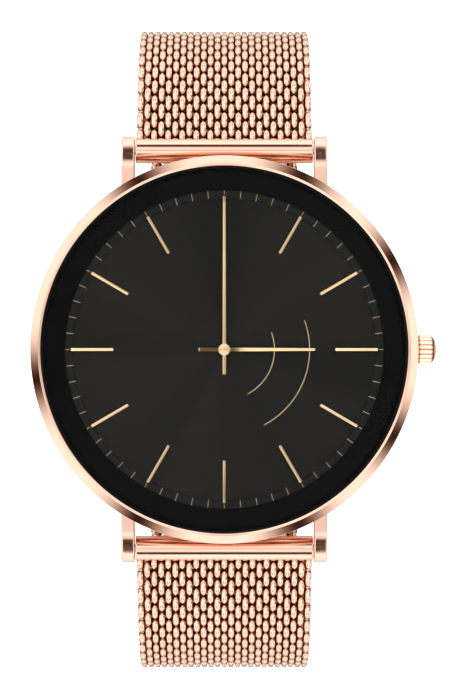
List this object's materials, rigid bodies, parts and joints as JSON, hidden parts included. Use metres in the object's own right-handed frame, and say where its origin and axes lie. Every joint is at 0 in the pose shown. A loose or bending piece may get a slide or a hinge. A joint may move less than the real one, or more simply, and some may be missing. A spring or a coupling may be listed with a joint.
{
  "type": "wristwatch",
  "caption": "Round analogue wristwatch with a black dial, baton markers, two hands, knurled crown and a closed loop of woven metal mesh strap.",
  "frame": {"origin": "centre of the case back's flat outer face", "axes": "+Z out of the dial, +Y towards twelve o'clock, +X towards the crown at three o'clock"},
  "size_m": [0.0405, 0.0682, 0.0576],
  "materials": {
    "case_gold": "polished rose-gold plating on stainless steel",
    "mesh_gold": "woven wire, satin rose-gold plating",
    "pale_gold": "polished pale gold",
    "crystal_glass": "clear, polished",
    "gasket_rubber": "black elastomer",
    "flange_black": "gloss black",
    "dial_black": "dark satin lacquer with a faint sunburst",
    "holder_plastic": "moulded white",
    "movement_steel": "bright steel",
    "coil_copper": "enamelled copper wire",
    "board_green": "glass-fibre board",
    "train_brass": "fine-grained brass"
  },
  "bodies": {
    "case": {"case_middle": "case_gold", "bezel": "case_gold", "crystal": "crystal_glass", "crystal_gasket": "gasket_rubber", "flange_ring": "flange_black", "chapter_ring": "dial_black", "dial": "dial_black", "index_ring": "pale_gold", "movement_holder": "holder_plastic", "mainplate": "movement_steel", "train_bridge": "movement_steel", "coil": "coil_copper", "stator": "movement_steel", "battery": "movement_steel", "battery_clamp": "movement_steel", "circuit_board": "board_green", "quartz_can": "movement_steel", "crown_tube": "movement_steel", "case_back": "case_gold", "case_back_gasket": "gasket_rubber", "spring_bar_12": "movement_steel", "spring_bar_6": "movement_steel", "movement_screw_a": "movement_steel", "movement_screw_b": "movement_steel"},
    "minute": {"minute_hand": "pale_gold", "centre_arbor": "movement_steel"},
    "hour": {"hour_hand": "pale_gold", "hour_wheel": "train_brass"},
    "minute_wheel_body": {"minute_wheel": "train_brass"},
    "third": {"third_wheel": "train_brass"},
    "fourth": {"fourth_wheel": "train_brass"},
    "rotor_body": {"rotor": "movement_steel"},
    "setting": {"setting_lever": "movement_steel"},
    "crown_body": {"crown": "case_gold", "stem": "movement_steel", "crown_gasket": "gasket_rubber"},
    "tip_12_right": {"spring_bar_12_tip_right": "movement_steel"},
    "tip_12_left": {"spring_bar_12_tip_left": "movement_steel"},
    "tip_6_right": {"spring_bar_6_tip_right": "movement_steel"},
    "tip_6_left": {"spring_bar_6_tip_left": "movement_steel"},
    "strap_12_a": {"strap_12_tube": "case_gold", "strap_12_mesh_a": "mesh_gold"},
    "strap_12_b": {"strap_12_mesh_b": "mesh_gold"},
    "strap_12_c": {"strap_12_mesh_c": "mesh_gold"},
    "strap_12_d": {"strap_12_mesh_d": "mesh_gold", "clasp_tube": "case_gold", "clasp_pin": "case_gold"},
    "cover": {"clasp_cover": "case_gold"},
    "strap_6_a": {"strap_6_tube": "case_gold", "strap_6_mesh_a": "mesh_gold"},
    "strap_6_b": {"strap_6_mesh_b": "mesh_gold"},
    "strap_6_c": {"strap_6_mesh_c": "mesh_gold"},
    "strap_6_d": {"strap_6_mesh_d": "mesh_gold", "strap_tip": "case_gold"},
    "slider": {"slider_frame": "case_gold", "lever_pin": "case_gold"},
    "lever": {"lock_lever": "case_gold"}
  },
  "joints": [
    {"name": "minute_turn", "type": "hinge", "parent": "case", "child": "minute", "pos_m": [0, 0, 0.005], "axis": [0, 0, -1], "continuous": true},
    {"name": "hour_turn", "type": "hinge", "parent": "case", "child": "hour", "pos_m": [0, 0, 0.0045], "axis": [0, 0, -1], "continuous": true},
    {"name": "minute_wheel_turn", "type": "hinge", "parent": "case", "child": "minute_wheel_body", "pos_m": [0.0012, 0.00208, 0.0036], "axis": [0, 0, -1], "continuous": true},
    {"name": "third_wheel_turn", "type": "hinge", "parent": "case", "child": "third", "pos_m": [-0.00263, -0.00096, 0.0022], "axis": [0, 0, -1], "continuous": true},
    {"name": "fourth_wheel_turn", "type": "hinge", "parent": "case", "child": "fourth", "pos_m": [-0.00499, -0.00054, 0.002], "axis": [0, 0, -1], "continuous": true},
    {"name": "rotor_turn", "type": "hinge", "parent": "case", "child": "rotor_body", "pos_m": [-0.00579, 0.00084, 0.0022], "axis": [0, 0, -1], "continuous": true},
    {"name": "setting_slide", "type": "slide", "parent": "case", "child": "setting", "axis": [1, 0, 0], "range_m": [0, 0.0008]},
    {"name": "crown_turn", "type": "hinge", "parent": "setting", "child": "crown_body", "pos_m": [0.019, 0, 0.0024], "axis": [1, 0, 0], "continuous": true},
    {"name": "tip_12_right_press", "type": "slide", "parent": "case", "child": "tip_12_right", "axis": [-1, 0, 0], "range_m": [0, 0.0009], "stiffness_N_per_m": 400},
    {"name": "tip_12_left_press", "type": "slide", "parent": "case", "child": "tip_12_left", "axis": [1, 0, 0], "range_m": [0, 0.0009], "stiffness_N_per_m": 400},
    {"name": "tip_6_right_press", "type": "slide", "parent": "case", "child": "tip_6_right", "axis": [-1, 0, 0], "range_m": [0, 0.0009], "stiffness_N_per_m": 400},
    {"name": "tip_6_left_press", "type": "slide", "parent": "case", "child": "tip_6_left", "axis": [1, 0, 0], "range_m": [0, 0.0009], "stiffness_N_per_m": 400},
    {"name": "strap_12_swing", "type": "hinge", "parent": "case", "child": "strap_12_a", "pos_m": [0, 0.02, 0.0022], "axis": [1, 0, 0], "range_deg": [0, 17]},
    {"name": "strap_12_flex_1", "type": "hinge", "parent": "strap_12_a", "child": "strap_12_b", "pos_m": [0, 0.034, -0.01379], "axis": [1, 0, 0], "range_deg": [0, 21]},
    {"name": "strap_12_flex_2", "type": "hinge", "parent": "strap_12_b", "child": "strap_12_c", "pos_m": [0, 0.03167, -0.03481], "axis": [1, 0, 0], "range_deg": [0, 21]},
    {"name": "strap_12_flex_3", "type": "hinge", "parent": "strap_12_c", "child": "strap_12_d", "pos_m": [0, 0.017, -0.04925], "axis": [1, 0, 0], "range_deg": [0, 21]},
    {"name": "strap_6_swing", "type": "hinge", "parent": "case", "child": "strap_6_a", "pos_m": [0, -0.02, 0.0022], "axis": [-1, 0, 0], "range_deg": [0, 17]},
    {"name": "strap_6_flex_1", "type": "hinge", "parent": "strap_6_a", "child": "strap_6_b", "pos_m": [0, -0.034, -0.01379], "axis": [-1, 0, 0], "range_deg": [0, 21]},
    {"name": "strap_6_flex_2", "type": "hinge", "parent": "strap_6_b", "child": "strap_6_c", "pos_m": [0, -0.03167, -0.03481], "axis": [-1, 0, 0], "range_deg": [0, 21]},
    {"name": "strap_6_flex_3", "type": "hinge", "parent": "strap_6_c", "child": "strap_6_d", "pos_m": [0, -0.017, -0.04925], "axis": [-1, 0, 0], "range_deg": [0, 21]},
    {"name": "clasp_cover_hinge", "type": "hinge", "parent": "strap_12_d", "child": "cover", "pos_m": [0, 0.0035, -0.04863], "axis": [1, 0, 0], "range_deg": [0, 120]},
    {"name": "slider_slide", "type": "slide", "parent": "strap_6_d", "child": "slider", "axis": [0, 1, 0], "range_m": [0, 0.003]},
    {"name": "lock_lever_hinge", "type": "hinge", "parent": "slider", "child": "lever", "pos_m": [0, -0.0156, -0.05043], "axis": [-1, 0, 0], "range_deg": [0, 70]}
  ],
  "couplings": [
    {"joint": "hour_turn", "follows": "minute_turn", "ratio": 0.083333},
    {"joint": "minute_wheel_turn", "follows": "minute_turn", "ratio": -0.33333},
    {"joint": "third_wheel_turn", "follows": "minute_turn", "ratio": -6},
    {"joint": "fourth_wheel_turn", "follows": "minute_turn", "ratio": 30},
    {"joint": "rotor_turn", "follows": "minute_turn", "ratio": -90},
    {"joint": "strap_12_flex_1", "follows": "strap_12_swing", "ratio": 1.2},
    {"joint": "strap_12_flex_2", "follows": "strap_12_swing", "ratio": 1.2},
    {"joint": "strap_12_flex_3", "follows": "strap_12_swing", "ratio": 1.2},
    {"joint": "strap_6_swing", "follows": "strap_12_swing", "ratio": 1},
    {"joint": "strap_6_flex_1", "follows": "strap_12_swing", "ratio": 1.2},
    {"joint": "strap_6_flex_2", "follows": "strap_12_swing", "ratio": 1.2},
    {"joint": "strap_6_flex_3", "follows": "strap_12_swing", "ratio": 1.2}
  ]
}
